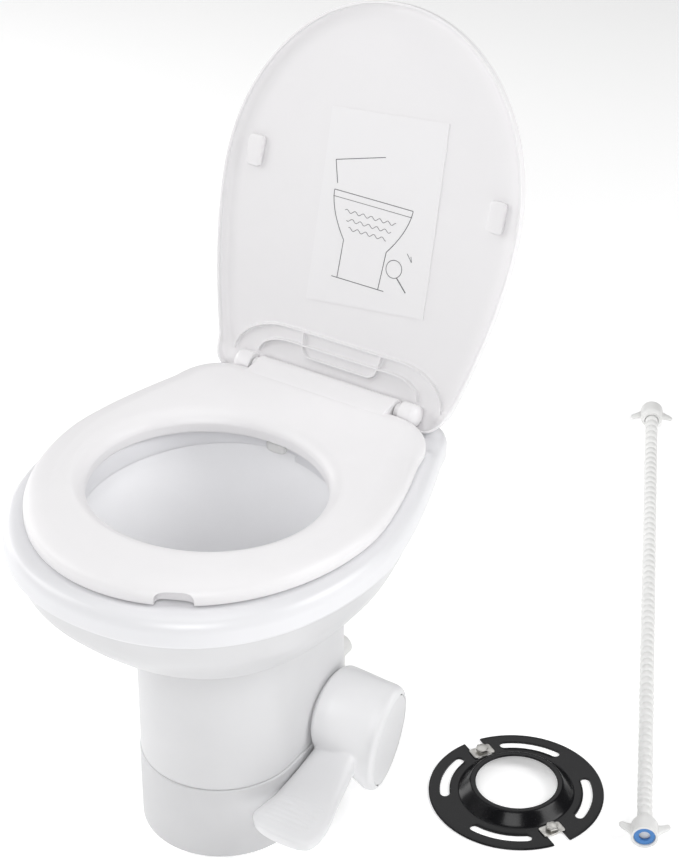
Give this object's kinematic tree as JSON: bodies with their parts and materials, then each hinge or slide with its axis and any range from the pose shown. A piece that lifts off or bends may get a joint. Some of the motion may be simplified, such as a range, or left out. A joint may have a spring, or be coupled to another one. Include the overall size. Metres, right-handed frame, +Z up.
{
  "type": "rv toilet",
  "caption": "Gravity-flush camper toilet with seat, open lid, foot pedal, geared ball valve, water valve, loose floor flange and ribbed water hose.",
  "frame": {"origin": "on the floor under the middle of the bowl", "axes": "+Z up, -Y towards the front of the bowl, +X towards the foot pedal"},
  "size_m": [0.6429, 1.194, 0.8085],
  "materials": {
    "seat_white": "satin",
    "rim_white": "gloss",
    "shell_white": "satin",
    "basin_white": "gloss",
    "grey_plastic": "matt",
    "white_fitting": "satin",
    "black_rubber": "matt",
    "white_rubber": "matt",
    "blue_rubber": "matt",
    "steel": "satin",
    "zinc": "satin",
    "black_enamel": "gloss",
    "brass": "satin"
  },
  "bodies": {
    "base": {"base_foot": "shell_white", "bowl_and_pedestal": "shell_white", "rim_cover": "rim_white", "basin": "basin_white", "ball_housing": "grey_plastic", "bowl_seal": "black_rubber", "seal_retainer": "grey_plastic", "outlet_tube": "grey_plastic", "floor_seal": "black_rubber", "axle_bush": "grey_plastic", "return_spring": "steel", "hinge_post_left": "seat_white", "hinge_post_right": "seat_white", "hinge_nut_left": "white_fitting", "hinge_nut_right": "white_fitting", "hinge_pin_left": "steel", "hinge_pin_right": "steel", "water_valve": "white_fitting", "riser_pipe": "white_fitting", "vacuum_breaker": "white_fitting", "feed_tube": "white_fitting", "rim_nozzle": "white_fitting", "water_deflector": "rim_white", "floor_flange": "black_enamel", "bolt_clip_rear": "zinc", "bolt_clip_front": "zinc", "flange_bolt_rear": "zinc", "flange_bolt_front": "zinc", "supply_hose": "white_fitting"},
    "seat": {"seat_ring": "seat_white", "seat_bumper_front_left": "white_rubber", "seat_bumper_front_right": "white_rubber", "seat_bumper_rear_left": "white_rubber", "seat_bumper_rear_right": "white_rubber"},
    "lid_body": {"lid": "seat_white", "lid_bumper_left": "seat_white", "lid_bumper_right": "seat_white"},
    "pedal": {"flush_pedal": "shell_white", "pedal_cap": "shell_white", "pedal_screw": "steel", "pedal_axle": "steel", "drive_sector": "white_fitting", "valve_cam": "white_fitting"},
    "ball": {"flush_ball": "grey_plastic", "ball_pinion": "white_fitting"},
    "plunger": {"valve_plunger": "brass"},
    "near_nut": {"hose_nut_near": "white_fitting", "hose_washer_near": "blue_rubber"},
    "far_nut": {"hose_nut_far": "white_fitting", "hose_washer_far": "blue_rubber"}
  },
  "joints": [
    {"name": "seat_hinge", "type": "hinge", "parent": "base", "child": "seat", "pos_m": [0, 0.1707, 0.4235], "axis": [-1, 0, 0], "range_deg": [0, 95]},
    {"name": "lid_hinge", "type": "hinge", "parent": "base", "child": "lid_body", "pos_m": [0, 0.1707, 0.4235], "axis": [-1, 0, 0], "range_deg": [-110.5, 0]},
    {"name": "pedal_axle_hinge", "type": "hinge", "parent": "base", "child": "pedal", "pos_m": [0.09, 0.044, 0.113], "axis": [1, 0, 0], "range_deg": [0, 22], "stiffness_Nm_per_rad": 4, "springref_deg": -20.05},
    {"name": "ball_trunnion", "type": "hinge", "parent": "base", "child": "ball", "pos_m": [0, -0.008, 0.113], "axis": [1, 0, 0], "range_deg": [-88, 0]},
    {"name": "valve_slide", "type": "slide", "parent": "base", "child": "plunger", "axis": [0, 1, 0], "range_m": [0, 0.004]},
    {"name": "near_nut_turn", "type": "hinge", "parent": "base", "child": "near_nut", "pos_m": [0.4124, 0.1571, 0.0156], "axis": [-0.436, 0.8999, 0], "continuous": true},
    {"name": "far_nut_turn", "type": "hinge", "parent": "base", "child": "far_nut", "pos_m": [0.0515, 0.902, 0.0156], "axis": [-0.436, 0.8999, 0], "continuous": true}
  ],
  "couplings": [
    {"joint": "ball_trunnion", "follows": "pedal_axle_hinge", "ratio": -4},
    {"joint": "valve_slide", "follows": "pedal_axle_hinge", "m_per_rad": 0.010417}
  ]
}
